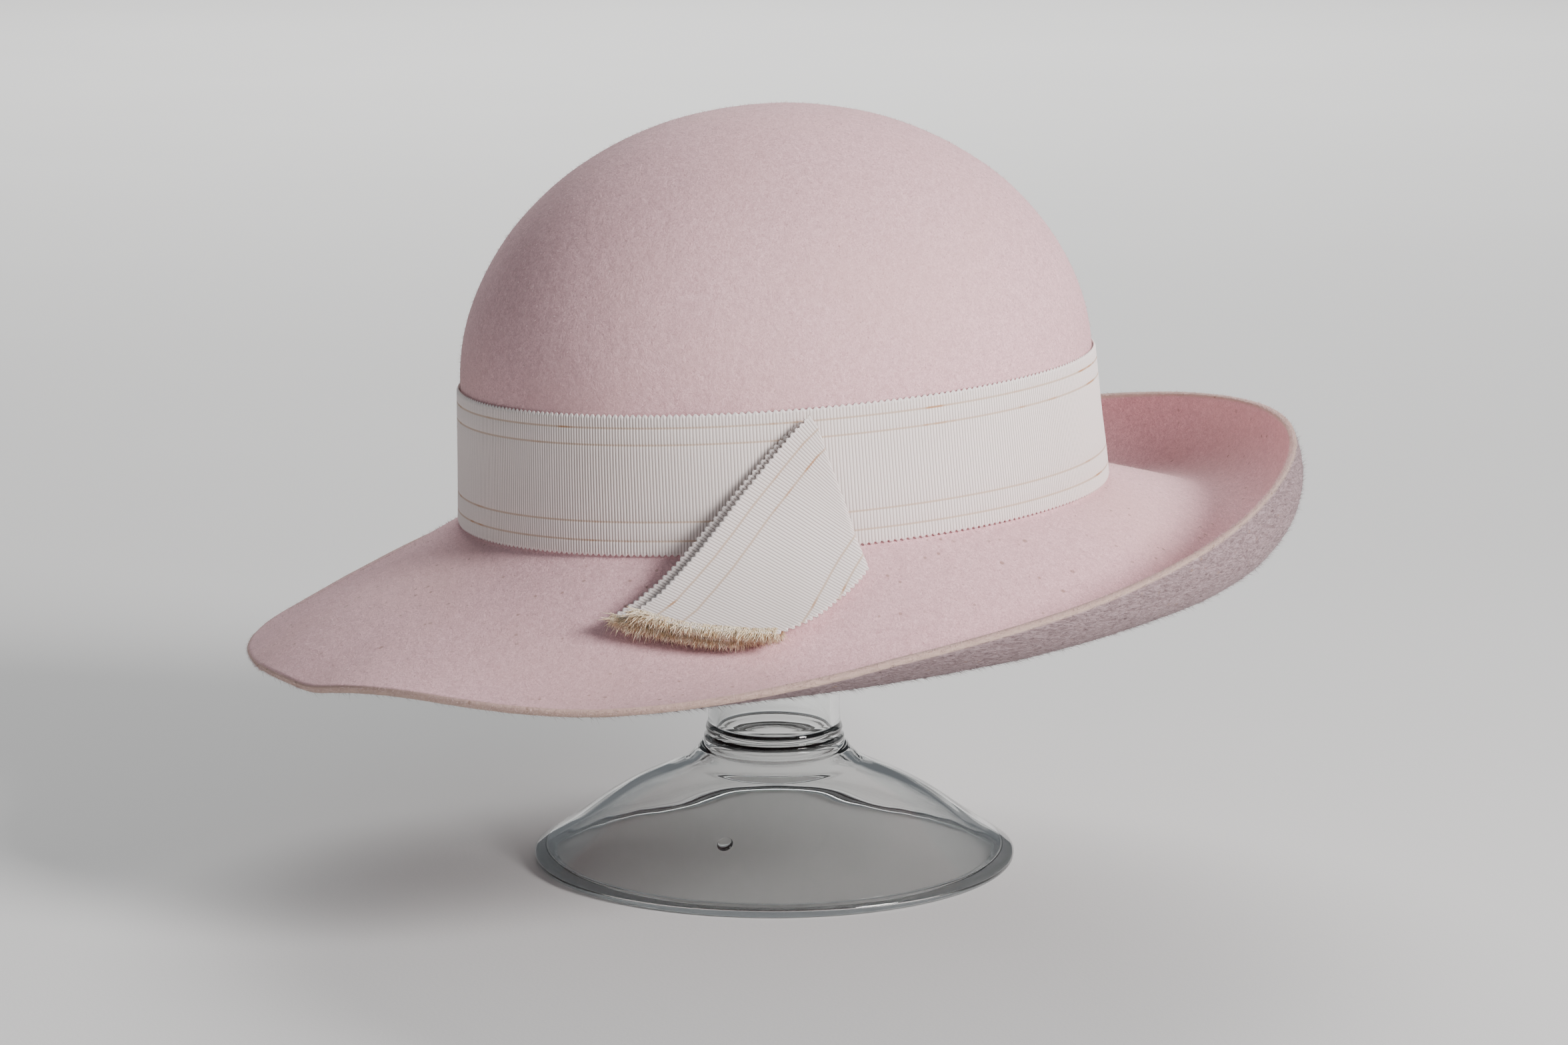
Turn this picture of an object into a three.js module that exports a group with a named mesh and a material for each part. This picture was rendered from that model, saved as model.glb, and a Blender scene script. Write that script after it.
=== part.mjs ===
import * as THREE from "three";

// A felt cloche hat with a grosgrain ribbon band and two short ribbon tails, on a clear blown-glass stand.
// Millimetres. -Y is the wearer's front, +X the wearer's left (the trim side), +Z up.

const rad = Math.PI / 180;

// ---------------------------------------------------------------- sizes
const felt = 2.1;                 // felt thickness
const gap = 0.3;                  // clearance between touching pieces, and between the hat and the stand's head
const around = 60;                // facets around the hat

const head = { front: 98.5, side: 85.3 };                   // half sizes of the outside of the crown at the head line
const crown = { wall: 40.2, taper: 0.974, dome: 78.2, fullness: 1.96, lean: -0.5 };

// Brim, from the front (0 degrees) to the back (180), one value every 30 degrees, the same on both sides.
const brimWidth = [73.3, 73.9, 75.5, 77.5, 78.8, 77.7, 73.5];
const brimSlope = [-22.4, -27.8, -32.4, -34.3, -31.2, -25.7, -16.7];
const brimCurl = [-10, 4, 45, 91, 122, 144, 118];
const curledShare = 0.517;        // outer share of the width that curls
// Lifts of the brim edge on the trim side: turn and spread in degrees, height as a share of the width.
const brimLift = [{ at: 32.9, wide: 19.6, high: 0.0643 }, { at: 27.3, wide: 19.6, high: 0.0311 }];

const ribbon = { width: 40, thick: 1.0, start: 0.8 };

const pose = { pitch: 3.2, roll: -0.63, x: 1.2, y: 3.2 };   // how the hat sits on the stand

// The stand: radius and rim of the foot, height of its bell, radius of the neck, height of the moulded
// collar at the root of the neck, height of the flare under the head, top and radius of the head.
const glass = { wall: 3.0, around: 36, foot: 73.2, rim: 6.8, bell: 29.4, neck: 20.1, collar: 14.6, flare: 41.8, headTop: 226.9, headRadius: 57 };

// ---------------------------------------------------------------- mesh helpers
function finish(name, vertices, triangles) {
  const geometry = new THREE.BufferGeometry();
  geometry.setAttribute("position", new THREE.Float32BufferAttribute(vertices.flatMap((v) => [v.x, v.y, v.z]), 3));
  geometry.setIndex(triangles.flat());
  geometry.computeVertexNormals();
  const mesh = new THREE.Mesh(geometry, new THREE.MeshStandardMaterial());
  mesh.name = name;
  return mesh;
}

// Rows of points that run around an axis, closed by a pole at either end.
function turned(name, rows, firstPole, lastPole) {
  const n = rows[0].length;
  const vertices = [firstPole, ...rows.flat(), lastPole];
  const at = (r, i) => 1 + r * n + (i % n);
  const triangles = [];
  for (let i = 0; i < n; i++) {
    triangles.push([0, at(0, i), at(0, i + 1)]);
    triangles.push([vertices.length - 1, at(rows.length - 1, i + 1), at(rows.length - 1, i)]);
  }
  for (let r = 0; r < rows.length - 1; r++) {
    for (let i = 0; i < n; i++) {
      triangles.push([at(r, i), at(r + 1, i), at(r + 1, i + 1)], [at(r, i), at(r + 1, i + 1), at(r, i + 1)]);
    }
  }
  return finish(name, vertices, triangles);
}

// Rows of points that run around an axis and close on themselves, such as a band.
function ring(name, rows) {
  const n = rows[0].length;
  const at = (r, i) => (r % rows.length) * n + (i % n);
  const triangles = [];
  for (let r = 0; r < rows.length; r++) {
    for (let i = 0; i < n; i++) {
      triangles.push([at(r, i), at(r + 1, i), at(r + 1, i + 1)], [at(r, i), at(r + 1, i + 1), at(r, i + 1)]);
    }
  }
  return finish(name, rows.flat(), triangles);
}

// A strip of cloth: a net of points down its middle, made as thick as the ribbon.
function strip(name, net, thick) {
  const rows = net.length;
  const columns = net[0].length;
  const normal = (r, c) => {
    const down = net[Math.min(r + 1, rows - 1)][c].clone().sub(net[Math.max(r - 1, 0)][c]);
    const across = net[r][Math.min(c + 1, columns - 1)].clone().sub(net[r][Math.max(c - 1, 0)]);
    return down.cross(across).normalize();
  };
  const vertices = [];
  for (const side of [0.5, -0.5]) {
    for (let r = 0; r < rows; r++) {
      for (let c = 0; c < columns; c++) vertices.push(net[r][c].clone().addScaledVector(normal(r, c), side * thick));
    }
  }
  const at = (s, r, c) => s * rows * columns + r * columns + c;
  const triangles = [];
  for (let r = 0; r < rows - 1; r++) {
    for (let c = 0; c < columns - 1; c++) {
      triangles.push([at(0, r, c), at(0, r + 1, c), at(0, r + 1, c + 1)], [at(0, r, c), at(0, r + 1, c + 1), at(0, r, c + 1)]);
      triangles.push([at(1, r, c), at(1, r + 1, c + 1), at(1, r + 1, c)], [at(1, r, c), at(1, r, c + 1), at(1, r + 1, c + 1)]);
    }
  }
  const edge = (a, b) => triangles.push([at(0, ...a), at(0, ...b), at(1, ...b)], [at(0, ...a), at(1, ...b), at(1, ...a)]);
  for (let r = 0; r < rows - 1; r++) {
    edge([r + 1, 0], [r, 0]);
    edge([r, columns - 1], [r + 1, columns - 1]);
  }
  for (let c = 0; c < columns - 1; c++) {
    edge([0, c], [0, c + 1]);
    edge([rows - 1, c + 1], [rows - 1, c]);
  }
  return finish(name, vertices, triangles);
}

// ---------------------------------------------------------------- hat form
// A smooth curve through one value every 30 degrees, mirrored left to right.
function smooth(values) {
  const last = values.length - 1;
  const terms = values.map((_, k) => {
    let sum = 0;
    values.forEach((v, j) => { sum += v * Math.cos(Math.PI * j * k / last) * (j === 0 || j === last ? 0.5 : 1); });
    return sum * (k === 0 || k === last ? 1 : 2) / last;
  });
  return (turn) => terms.reduce((sum, term, k) => sum + term * Math.cos(k * turn), 0);
}
const widthAt = smooth(brimWidth);
const slopeAt = smooth(brimSlope);
const curlAt = smooth(brimCurl);

const turns = Array.from({ length: around }, (_, i) => i * 2 * Math.PI / around - Math.PI);

function oval(turn, scale, z, shift = 0) {
  return new THREE.Vector3(head.side * scale * Math.sin(turn), -head.front * scale * Math.cos(turn) + shift, z);
}
function outward(turn) {
  return new THREE.Vector3(Math.sin(turn) / head.side, -Math.cos(turn) / head.front, 0).normalize();
}
function crownPoint(turn, z) {
  if (z <= crown.wall) return oval(turn, 1 - (1 - crown.taper) * z / crown.wall, z);
  const u = (z - crown.wall) / crown.dome;
  return oval(turn, crown.taper * Math.sqrt(Math.max(0, 1 - u ** crown.fullness)), z, crown.lean * u);
}
function brimPoint(turn, share) {
  const width = widthAt(turn);
  const slope = slopeAt(turn) * rad;
  const curl = curlAt(turn) * rad;
  const straight = Math.min(share * width, (1 - curledShare) * width);
  const curled = Math.max(share * width - (1 - curledShare) * width, 0);
  let rate = curl / (curledShare * width);
  if (Math.abs(rate) < 1e-6) rate = 1e-6;
  const reach = straight * Math.cos(slope) + (Math.sin(slope + rate * curled) - Math.sin(slope)) / rate;
  let rise = straight * Math.sin(slope) - (Math.cos(slope + rate * curled) - Math.cos(slope)) / rate;
  for (const lift of brimLift) {
    rise += lift.high * width * Math.exp(-(((turn / rad - lift.at) / lift.wide) ** 2)) * share * share;
  }
  return oval(turn, 1, 0).addScaledVector(outward(turn), reach).add(new THREE.Vector3(0, 0, rise));
}

// Outside of the crown, then the upper face of the brim: apex to edge.
const domeRows = 10;
const outer = [];
for (let i = domeRows - 1; i >= 1; i--) {
  const z = crown.wall + crown.dome * Math.sin(i / domeRows * Math.PI / 2);
  outer.push(turns.map((t) => crownPoint(t, z)));
}
const turnUp = 0.03;                                // share of the wall where the soft turn at the head line ends
for (const share of [1, 0.67, 0.35, turnUp]) outer.push(turns.map((t) => crownPoint(t, share * crown.wall)));
outer.push(turns.map((t) => {                       // the soft turn at the head line
  const up = crownPoint(t, turnUp * crown.wall);
  const out = brimPoint(t, 0.018);
  return up.multiplyScalar(0.25).addScaledVector(oval(t, 1, 0), 0.5).addScaledVector(out, 0.25);
}));
for (const share of [0.018, 0.12, 0.24, 0.36, 0.48, 0.57, 0.66, 0.74, 0.82, 0.9, 0.96, 1]) {
  outer.push(turns.map((t) => brimPoint(t, share)));
}
const apex = new THREE.Vector3(0, crown.lean, crown.wall + crown.dome);

// The other face of the felt, one thickness inside the first.
function inset(rows, pole, depth) {
  const n = around;
  return rows.map((row, r) => row.map((point, i) => {
    const before = r === 0 ? pole : rows[r - 1][i];
    const after = r === rows.length - 1 ? point : rows[r + 1][i];
    const down = after.clone().sub(before);
    const along = row[(i + 1) % n].clone().sub(row[(i + n - 1) % n]);
    const normal = down.cross(along).normalize();
    return point.clone().addScaledVector(normal, -depth);
  }));
}
const inner = inset(outer, apex, felt);

// ---------------------------------------------------------------- felt_hat
const feltHat = turned("felt_hat", [...outer, ...inner.slice().reverse()], apex, apex.clone().add(new THREE.Vector3(0, 0, -felt)));

// ---------------------------------------------------------------- ribbon_band
// Ribbon pulled flat around the foot of the crown.
function bandRow(z, off) {
  return turns.map((t) => crownPoint(t, z).addScaledVector(outward(t), off));
}
const bandLow = ribbon.start;
const bandHigh = ribbon.start + ribbon.width;
const bandRows = [];
for (const z of [bandHigh, bandLow]) bandRows.push(bandRow(Math.min(z, crown.wall), gap + ribbon.thick).map((p) => p.setZ(z)));
for (const z of [bandLow, bandHigh]) bandRows.push(bandRow(Math.min(z, crown.wall), gap).map((p) => p.setZ(z)));
const ribbonBand = ring("ribbon_band", bandRows);

// ---------------------------------------------------------------- ribbon tails
// Each tail is a net of points on its middle surface, laid out on the felt: rows run from the top corner
// to the cut end, columns from the left selvedge to the right one. A point is its turn in degrees, then
// its height up the crown as a share of the ribbon's width, or how far out it lies as a negative share of
// the brim's width, then how far it stands off the felt in thicknesses of ribbon.
const overNet = [
  [[76.7, 0.986, 4.4], [77.3, 0.979, 4.6], [77.9, 0.966, 4.7], [78.6, 0.951, 4.7]],
  [[70.1, 0.645, 5.1], [73.8, 0.635, 5.1], [77.3, 0.621, 5.0], [81.1, 0.601, 4.9]],
  [[62.5, 0.352, 7.4], [69.7, 0.229, 7.5], [77.1, -0.057, 8.0], [84.0, -0.112, 4.7]],
  [[55.3, -0.162, 9.7], [63.1, -0.203, 7.2], [70.9, -0.247, 5.9], [78.7, -0.286, 5.1]],
  [[49.3, -0.400, 7.9], [55.8, -0.435, 7.9], [62.2, -0.481, 8.2], [69.9, -0.483, 7.0]],
];
const underNet = [
  [[75.1, 0.981, 3.0], [75.7, 0.973, 3.0], [76.3, 0.961, 3.0], [77.1, 0.948, 3.1]],
  [[67.8, 0.625, 3.3], [71.7, 0.615, 3.3], [75.4, 0.605, 3.4], [78.6, 0.590, 3.4]],
  [[60.1, 0.313, 5.2], [67.2, 0.203, 5.1], [74.3, 0.072, 5.6], [80.3, -0.077, 3.3]],
  [[51.9, -0.185, 6.2], [59.1, -0.225, 3.8], [66.3, -0.273, 2.3], [73.5, -0.311, 1.8]],
  [[46.0, -0.422, 4.9], [51.7, -0.478, 5.0], [57.9, -0.536, 5.2], [64.3, -0.570, 5.2]],
];
function onFelt([degrees, share, lift]) {
  const step = 0.001;
  const at = (t, s) => (share >= 0 ? crownPoint(t, s * ribbon.width) : brimPoint(t, -s));
  const t = degrees * rad;
  const down = at(t, share - step).sub(at(t, share));
  const along = at(t + step, share).sub(at(t - step, share));
  return at(t, share).addScaledVector(down.cross(along).normalize(), lift * ribbon.thick);
}
function curveAt(points, u) {
  const span = (points.length - 1) * u;
  const i = Math.min(Math.floor(span), points.length - 2);
  const f = span - i;
  const p = (k) => points[Math.max(0, Math.min(points.length - 1, k))];
  const [a, b, c, d] = [p(i - 1), p(i), p(i + 1), p(i + 2)];
  const out = new THREE.Vector3();
  for (const axis of ["x", "y", "z"]) {
    out[axis] = 0.5 * (2 * b[axis] + (c[axis] - a[axis]) * f + (2 * a[axis] - 5 * b[axis] + 4 * c[axis] - d[axis]) * f * f
      + (3 * b[axis] - a[axis] - 3 * c[axis] + d[axis]) * f * f * f);
  }
  return out;
}
function fine(net, rows, columns) {
  const points = net.map((row) => row.map(onFelt));
  return Array.from({ length: rows + 1 }, (_, r) => {
    const row = points[0].map((_, c) => curveAt(points.map((line) => line[c]), r / rows));
    return Array.from({ length: columns + 1 }, (_, c) => curveAt(row, c / columns));
  });
}
const tailOver = strip("ribbon_tail_over", fine(overNet, 12, 7), ribbon.thick);
const tailUnder = strip("ribbon_tail_under", fine(underNet, 12, 7), ribbon.thick);

// ---------------------------------------------------------------- glass_stand
// One blown piece, open under its bell foot: foot, neck with a moulded collar at its root, closed domed head.
const standOuter = [];
const headCentre = glass.headTop - glass.headRadius;
for (const a of [12, 24, 36, 48, 60, 72, 84, 96, 108, 120, 132]) {
  standOuter.push([glass.headRadius * Math.sin(a * rad), headCentre + glass.headRadius * Math.cos(a * rad)]);
}
// Share of the way from the neck's radius out to the head's last ring, and share of the flare's height.
const [headLowRadius, headLowHeight] = standOuter[standOuter.length - 1];
for (const [out, down] of [[0.535, 0.198], [0.198, 0.401], [0.049, 0.665], [0, 1]]) {
  standOuter.push([glass.neck + out * (headLowRadius - glass.neck), headLowHeight - down * glass.flare]);
}
// Share of the way from the neck's radius out to the top of the bell, and share of the collar's height.
const bellTop = 0.374 * glass.foot;
for (const [out, up] of [[0, 1], [0.08, 0.78], [0.05, 0.68], [0.17, 0.56], [0.19, 0.45], [0.44, 0.33], [0.5, 0.2]]) {
  standOuter.push([glass.neck + out * (bellTop - glass.neck), glass.bell + up * glass.collar]);
}
standOuter.push([bellTop, glass.bell]);
// Share of the foot's radius, and share of the bell's height.
for (const [out, up] of [[0.467, 0.898], [0.561, 0.796], [0.653, 0.673], [0.743, 0.527], [0.831, 0.364], [0.914, 0.224], [0.978, 0.15], [1, 0.088], [0.995, 0]]) {
  standOuter.push([out * glass.foot, up * glass.bell]);
}
const standInner = standOuter.slice(0, -4).map(([r, z], i) => {
  const before = i === 0 ? [0, glass.headTop] : standOuter[i - 1];
  const after = standOuter[i + 1];
  const dr = after[0] - before[0];
  const dz = after[1] - before[1];
  const length = Math.hypot(dr, dz);
  return [r + glass.wall * dz / length, z - glass.wall * dr / length];
});
standInner.push([glass.foot - 1.12 * glass.rim, 0.088 * glass.bell], [glass.foot - glass.rim, 0]);
const circle = (r, z) => Array.from({ length: glass.around }, (_, i) => {
  const t = i * 2 * Math.PI / glass.around - Math.PI;
  return new THREE.Vector3(r * Math.sin(t), -r * Math.cos(t), z);
});
const glassStand = turned(
  "glass_stand",
  [...standOuter, ...standInner.slice().reverse()].map(([r, z]) => circle(r, z)),
  new THREE.Vector3(0, 0, glass.headTop),
  new THREE.Vector3(0, 0, glass.headTop - glass.wall),
);

// ---------------------------------------------------------------- the hat set on the stand
const crownInside = (crown.wall + crown.dome - felt) * Math.cos(pose.pitch * rad) * Math.cos(pose.roll * rad);
const seat = new THREE.Matrix4().makeTranslation(pose.x, pose.y, glass.headTop + gap - crownInside)
  .multiply(new THREE.Matrix4().makeRotationX(pose.pitch * rad))
  .multiply(new THREE.Matrix4().makeRotationY(pose.roll * rad));
for (const piece of [feltHat, ribbonBand, tailOver, tailUnder]) piece.geometry.applyMatrix4(seat);

const part = new THREE.Group();
part.name = "cloche_hat";
part.add(feltHat, ribbonBand, tailOver, tailUnder, glassStand);

// Origin on the floor, under the middle of the whole part.
const box = new THREE.Box3().setFromObject(part);
const middle = box.getCenter(new THREE.Vector3());
for (const piece of part.children) piece.geometry.translate(-middle.x, -middle.y, -box.min.z);

export default part;
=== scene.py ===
import math
import random

import bmesh
import bpy
from mathutils import Matrix, Vector, noise


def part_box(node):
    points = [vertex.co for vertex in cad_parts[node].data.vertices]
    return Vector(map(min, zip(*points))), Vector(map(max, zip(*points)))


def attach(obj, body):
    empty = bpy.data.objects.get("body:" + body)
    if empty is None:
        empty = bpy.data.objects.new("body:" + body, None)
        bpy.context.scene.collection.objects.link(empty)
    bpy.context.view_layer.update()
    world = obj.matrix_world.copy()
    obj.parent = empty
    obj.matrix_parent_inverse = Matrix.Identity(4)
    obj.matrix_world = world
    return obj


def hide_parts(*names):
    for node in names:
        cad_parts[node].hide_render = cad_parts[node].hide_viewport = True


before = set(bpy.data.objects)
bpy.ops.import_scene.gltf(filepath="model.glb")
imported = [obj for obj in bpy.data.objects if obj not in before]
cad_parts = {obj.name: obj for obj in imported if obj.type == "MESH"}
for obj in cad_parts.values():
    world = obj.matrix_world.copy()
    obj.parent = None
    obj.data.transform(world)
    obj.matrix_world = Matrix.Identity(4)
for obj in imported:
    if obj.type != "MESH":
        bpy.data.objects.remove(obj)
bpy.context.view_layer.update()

# ---------------------------------------------------------------------------
# Camera and light. The hat is seen from the wearer's left, a little to the
# front and above. One soft lamp lights it from the right, with a weak fill on
# the left and a weak one behind, and two wide lamps light the floor.
stand_low, stand_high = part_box("glass_stand")
stand_axis = Vector(((stand_low.x + stand_high.x) / 2, (stand_low.y + stand_high.y) / 2, 0.0))

camera = bpy.data.objects.new("camera", bpy.data.cameras.new("camera"))
camera.data.lens = 100
camera.data.sensor_width = 36
camera.data.clip_end = 40
CAMERA_FROM_STAND, CAMERA_PITCH, CAMERA_TURN = (1.2133, -0.4432, 0.3454), 79.38, 69.8
camera.location = stand_axis + Vector(CAMERA_FROM_STAND)
camera.rotation_euler = (math.radians(CAMERA_PITCH), 0, math.radians(CAMERA_TURN))
bpy.context.scene.collection.objects.link(camera)
bpy.context.scene.camera = camera


def lamp(name, place, target, size, power, tint):
    light = bpy.data.lights.new(name, "AREA")
    light.shape = "DISK"
    light.size = size
    light.energy = power
    light.color = tint
    lit = bpy.data.objects.new(name, light)
    lit.location = place
    lit.rotation_euler = (Vector(target) - Vector(place)).to_track_quat("-Z", "Y").to_euler()
    bpy.context.scene.collection.objects.link(lit)


lamp("key_light", (1.52, 0.95, 0.98), (0, 0, 0.15), 0.7, 63, (1.0, 0.965, 0.96))
lamp("fill_light", (1.3, -1.1, 1.3), (0, 0, 0.12), 1.5, 1.0, (0.9, 0.95, 1.0))
lamp("back_light", (-1.7, 0.6, 1.7), (0, 0, 0.12), 1.4, 8, (1.0, 0.98, 0.98))
lamp("floor_light_behind", (-3.2, 1.2, 2.4), (-3.0, 1.1, 0), 3.0, 150, (1.0, 0.99, 0.98))
lamp("floor_light_before", (4.8, -0.4, 1.7), (5.0, -0.4, 0), 3.6, 60, (1.0, 0.99, 0.98))

world = bpy.data.worlds.new("studio")
world.use_nodes = True
world.node_tree.nodes["Background"].inputs["Color"].default_value = (0.79, 0.85, 0.91, 1)
world.node_tree.nodes["Background"].inputs["Strength"].default_value = 0.19
bpy.context.scene.world = world


# ---------------------------------------------------------------------------
# Floor. A plain pale matt surface that runs on past the picture.
class Value:
    """A socket or a number in a finish, so that shader maths reads as an expression."""

    def __init__(self, finish, source):
        self.finish = finish
        self.source = source

    def maths(self, operation, *others):
        return self.finish.node(
            "ShaderNodeMath", {"operation": operation}, dict(enumerate([self, *others]))
        )

    def __add__(self, other):
        return self.maths("ADD", other)

    def __radd__(self, other):
        return self.maths("ADD", other)

    def __sub__(self, other):
        return self.maths("SUBTRACT", other)

    def __rsub__(self, other):
        return Value(self.finish, other).maths("SUBTRACT", self)

    def __mul__(self, other):
        return self.maths("MULTIPLY", other)

    def __rmul__(self, other):
        return self.maths("MULTIPLY", other)

    def __truediv__(self, other):
        return self.maths("DIVIDE", other)

    def __rtruediv__(self, other):
        return Value(self.finish, other).maths("DIVIDE", self)

    def __gt__(self, other):
        return self.maths("GREATER_THAN", other)

    def __lt__(self, other):
        return self.maths("LESS_THAN", other)

    def ramp(self, low, high):
        """0 at low, 1 at high, smooth between."""
        return self.finish.node(
            "ShaderNodeMapRange",
            {"interpolation_type": "SMOOTHSTEP"},
            {"Value": self, "From Min": low, "From Max": high},
        )


class Finish:
    """A node material with one Principled shader."""

    def __init__(self, name, **sockets):
        self.material = bpy.data.materials.new(name)
        self.material.use_nodes = True
        self.tree = self.material.node_tree
        self.shader = self.tree.nodes["Principled BSDF"]
        for socket, value in sockets.items():
            self.shader.inputs[socket.replace("_", " ")].default_value = value

    def node(self, kind, settings=None, inputs=None, out=0):
        made = self.tree.nodes.new(kind)
        for key, value in (settings or {}).items():
            setattr(made, key, value)
        for socket, value in (inputs or {}).items():
            self.feed(made.inputs[socket], value)
        return Value(self, made.outputs[out])

    def feed(self, socket, value):
        if isinstance(value, Value):
            value = value.source
        if isinstance(value, bpy.types.NodeSocket):
            self.tree.links.new(value, socket)
        elif isinstance(value, tuple) and len(value) == 3 and socket.type == "RGBA":
            socket.default_value = (*value, 1)
        else:
            socket.default_value = value

    def set(self, **sockets):
        for socket, value in sockets.items():
            self.feed(self.shader.inputs[socket.replace("_", " ")], value)

    def place(self):
        return self.node("ShaderNodeTexCoord", out="Object")

    def attribute(self, name):
        return self.node("ShaderNodeAttribute", {"attribute_name": name}, out="Fac")

    def noise(self, scale, detail=2.0, roughness=0.5, distortion=0.0, where=None):
        inputs = {"Vector": where or self.place(), "Scale": scale, "Detail": detail}
        inputs |= {"Roughness": roughness, "Distortion": distortion}
        return self.node("ShaderNodeTexNoise", {"noise_dimensions": "3D"}, inputs)

    def mix(self, share, first, second):
        """A colour: first where share is 0, second where it is 1."""
        settings = {"data_type": "RGBA", "clamp_factor": True}
        return self.node("ShaderNodeMix", settings, {0: share, 6: first, 7: second}, out=2)

    def bump(self, height, strength, distance):
        inputs = {"Height": height, "Strength": strength, "Distance": distance}
        return self.node("ShaderNodeBump", None, inputs)


def piece(name, mesh, finish, material_slot=None, replaces=()):
    """Turns a bmesh into a smooth object that rides on the part and stands for its CAD nodes."""
    data = bpy.data.meshes.new(name)
    mesh.to_mesh(data)
    mesh.free()
    for face in data.polygons:
        face.use_smooth = True
    made = bpy.data.objects.new(name, data)
    made.data.materials.append(finish.material)
    bpy.context.scene.collection.objects.link(made)
    if material_slot:
        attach(made, "root")
        if replaces:
            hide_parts(*replaces)
    return made


floor_paint = Finish("pale_floor", Roughness=0.85)
floor_paint.set(
    Base_Color=floor_paint.mix(floor_paint.noise(3.0, 2), (0.70, 0.70, 0.69), (0.74, 0.74, 0.73)),
    Normal=floor_paint.bump(floor_paint.noise(900, 3), 0.12, 0.0004),
)
mesh = bmesh.new()
bmesh.ops.create_grid(mesh, x_segments=8, y_segments=8, size=12)
piece("floor", mesh, floor_paint)

# ---------------------------------------------------------------------------
# Felt hat. One hood of thick wool felt, blocked to a domed crown and a wide
# brim that dips in front and rolls up at the back. The edge is raw cut, the
# underside has a longer, woollier nap than the upper face.
MM = 0.001
RAD = math.pi / 180
FELT = 2.1
HEAD_FRONT, HEAD_SIDE = 98.5, 85.3
CROWN_WALL, CROWN_TAPER, CROWN_DOME, CROWN_FULLNESS, CROWN_LEAN = 40.2, 0.974, 78.2, 1.96, -0.5
CURLED_SHARE = 0.517
# Each lift is a turn and a reach in degrees, and a height as a share of the brim's width.
BRIM_LIFTS = ((32.9, 19.6, 0.0643), (27.3, 19.6, 0.0311))
# Each wave of the cut edge is a turn and a reach in degrees, and a height in mm.
EDGE_WAVES = ((13.5, 4.3, -1.25), (27.0, 8.0, 0.95))


def smooth_table(values):
    """A smooth curve through one value every 30 degrees, front to back, the same on both sides."""
    last = len(values) - 1
    terms = []
    for k in range(last + 1):
        total = sum(
            v * math.cos(math.pi * j * k / last) * (0.5 if j in (0, last) else 1)
            for j, v in enumerate(values)
        )
        terms.append(total * (1 if k in (0, last) else 2) / last)
    return lambda turn: sum(term * math.cos(k * turn) for k, term in enumerate(terms))


brim_width = smooth_table((73.3, 73.9, 75.5, 77.5, 78.8, 77.7, 73.5))
brim_slope = smooth_table((-22.4, -27.8, -32.4, -34.3, -31.2, -25.7, -16.7))
brim_curl = smooth_table((-10, 4, 45, 91, 122, 144, 118))

SEAT_PLACE, SEAT_PITCH, SEAT_ROLL = (1.2, 3.2, 111.09), 3.2, -0.63
seat = (
    Matrix.Translation(stand_axis + Vector(SEAT_PLACE) * MM)
    @ Matrix.Rotation(SEAT_PITCH * RAD, 4, "X")
    @ Matrix.Rotation(SEAT_ROLL * RAD, 4, "Y")
)


def oval(turn, scale, z, shift=0.0):
    return Vector((HEAD_SIDE * scale * math.sin(turn), -HEAD_FRONT * scale * math.cos(turn) + shift, z))


def outward(turn):
    return Vector((math.sin(turn) / HEAD_SIDE, -math.cos(turn) / HEAD_FRONT, 0)).normalized()


def crown_point(turn, z):
    if z <= CROWN_WALL:
        return oval(turn, 1 - (1 - CROWN_TAPER) * z / CROWN_WALL, z)
    u = (z - CROWN_WALL) / CROWN_DOME
    return oval(turn, CROWN_TAPER * math.sqrt(max(0.0, 1 - u**CROWN_FULLNESS)), z, CROWN_LEAN * u)


def brim_point(turn, share):
    width, slope, curl = brim_width(turn), brim_slope(turn) * RAD, brim_curl(turn) * RAD
    straight = min(share, 1 - CURLED_SHARE) * width
    curled = max(share - (1 - CURLED_SHARE), 0) * width
    rate = curl / (CURLED_SHARE * width)
    if abs(rate) < 1e-6:
        rate = 1e-6
    reach = straight * math.cos(slope) + (math.sin(slope + rate * curled) - math.sin(slope)) / rate
    rise = straight * math.sin(slope) - (math.cos(slope + rate * curled) - math.cos(slope)) / rate
    for at, wide, high in BRIM_LIFTS:
        rise += high * width * math.exp(-(((turn / RAD - at) / wide) ** 2)) * share * share
    for at, wide, high in EDGE_WAVES:
        rise += high * math.exp(-(((turn / RAD - at) / wide) ** 2)) * share**5
    return oval(turn, 1, 0) + outward(turn) * reach + Vector((0, 0, rise))


TURN_HIGH, TURN_SHARE = 1.2, 0.018


def head_turn(turn, t):
    """The soft turn of the felt from the crown into the brim."""
    return (
        crown_point(turn, TURN_HIGH) * (1 - t) ** 2
        + oval(turn, 1, 0) * 2 * t * (1 - t)
        + brim_point(turn, TURN_SHARE) * t * t
    )


DOME_ROWS, WALL_ROWS, BRIM_ROWS = 40, 14, 46
stations = []
for i in range(1, DOME_ROWS + 1):
    above_wall = CROWN_DOME * math.sin((1 - i / DOME_ROWS) * math.pi / 2)
    stations.append((crown_point, CROWN_WALL + above_wall))
for i in range(1, WALL_ROWS + 1):
    stations.append((crown_point, CROWN_WALL + (TURN_HIGH - CROWN_WALL) * i / WALL_ROWS))
for t in (0.33, 0.67):
    stations.append((head_turn, t))
for i in range(0, BRIM_ROWS + 1):
    stations.append((brim_point, TURN_SHARE + (1 - TURN_SHARE) * i / BRIM_ROWS))


def felt_wobble(point, woolly):
    """Small unevenness that the blocking and the nap leave in the felt."""
    slow = noise.noise(point * 0.022) * 0.55 + noise.noise(point * 0.06 + Vector((7, 3, 1))) * 0.22
    return slow + noise.noise(point * 0.35) * (0.16 if woolly else 0.05)


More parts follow.
